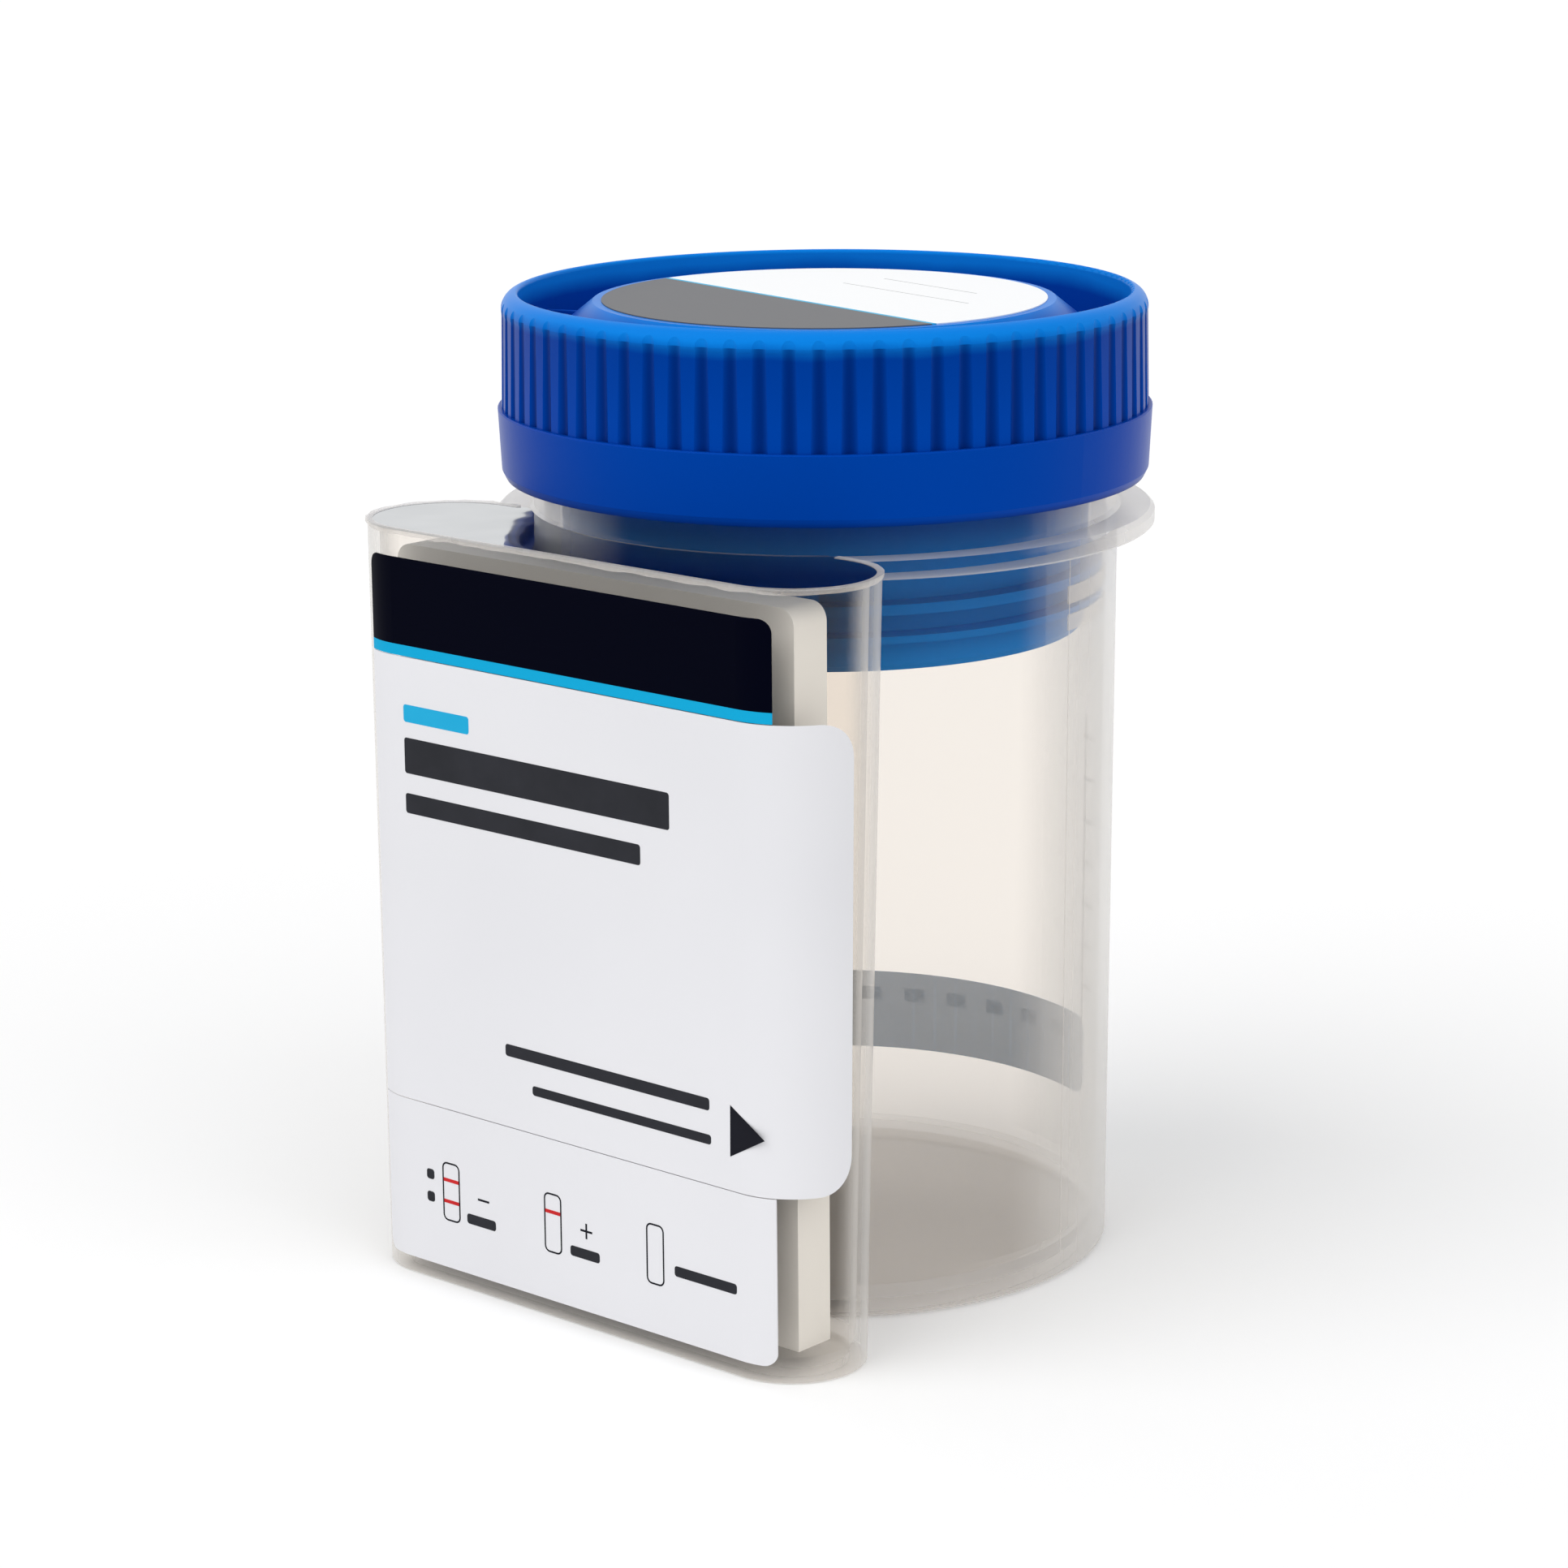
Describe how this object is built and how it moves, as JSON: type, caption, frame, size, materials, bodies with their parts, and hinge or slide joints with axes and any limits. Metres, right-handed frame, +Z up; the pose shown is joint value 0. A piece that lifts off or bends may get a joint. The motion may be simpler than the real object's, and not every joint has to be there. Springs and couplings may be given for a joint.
{
  "type": "drug test cup",
  "caption": "Round screw-lid specimen cup with a flat test-strip compartment moulded on its front, for collecting a urine sample and reading it.",
  "frame": {"origin": "on the round cup's axis, in the plane that the foot stands on", "axes": "+Z up along the cup's axis; the flat strip compartment faces -Y; +X to the right of it"},
  "size_m": [0.075, 0.0815, 0.1112],
  "materials": {
    "cup_plastic": "natural translucent polypropylene, faintly frosted",
    "lid_plastic": "deep blue moulded plastic, slightly translucent at thin edges",
    "seal": "soft white foam ring",
    "lid_label": "white and grey printed paper label, satin",
    "film": "thin clear sealing film",
    "carrier": "off-white moulded plastic",
    "label_header": "black printed film label with a light blue stripe",
    "label_white": "white printed film label, satin",
    "temperature_strip": "thin printed film strip",
    "strip_card": "white plastic backing card",
    "strip_pad": "fibrous absorbent pad",
    "strip_membrane": "thin white membrane"
  },
  "bodies": {
    "cup": {"cup_body": "cup_plastic", "compartment_film": "film", "strip_carrier": "carrier", "label_header": "label_header", "peel_label": "label_white", "label_footer": "label_white", "temperature_strip": "temperature_strip", "backing_card_1": "strip_card", "sample_pad_1": "strip_pad", "conjugate_pad_1": "strip_pad", "membrane_1": "strip_membrane", "absorbent_pad_1": "strip_pad", "backing_card_2": "strip_card", "sample_pad_2": "strip_pad", "conjugate_pad_2": "strip_pad", "membrane_2": "strip_membrane", "absorbent_pad_2": "strip_pad", "backing_card_3": "strip_card", "sample_pad_3": "strip_pad", "conjugate_pad_3": "strip_pad", "membrane_3": "strip_membrane", "absorbent_pad_3": "strip_pad", "backing_card_4": "strip_card", "sample_pad_4": "strip_pad", "conjugate_pad_4": "strip_pad", "membrane_4": "strip_membrane", "absorbent_pad_4": "strip_pad", "backing_card_5": "strip_card", "sample_pad_5": "strip_pad", "conjugate_pad_5": "strip_pad", "membrane_5": "strip_membrane", "absorbent_pad_5": "strip_pad"},
    "seal": {"sealing_ring": "seal"},
    "lid": {"lid": "lid_plastic", "lid_label": "lid_label"}
  },
  "joints": [
    {"name": "lid_lift", "type": "slide", "parent": "cup", "child": "seal", "axis": [0, 0, 1], "range_m": [0, 0.0301]},
    {"name": "lid_turn", "type": "hinge", "parent": "seal", "child": "lid", "pos_m": [0, 0, 0.103], "axis": [0, 0, 1], "range_deg": [0, 900]}
  ],
  "couplings": [
    {"joint": "lid_lift", "follows": "lid_turn", "m_per_rad": 0.0019099}
  ]
}
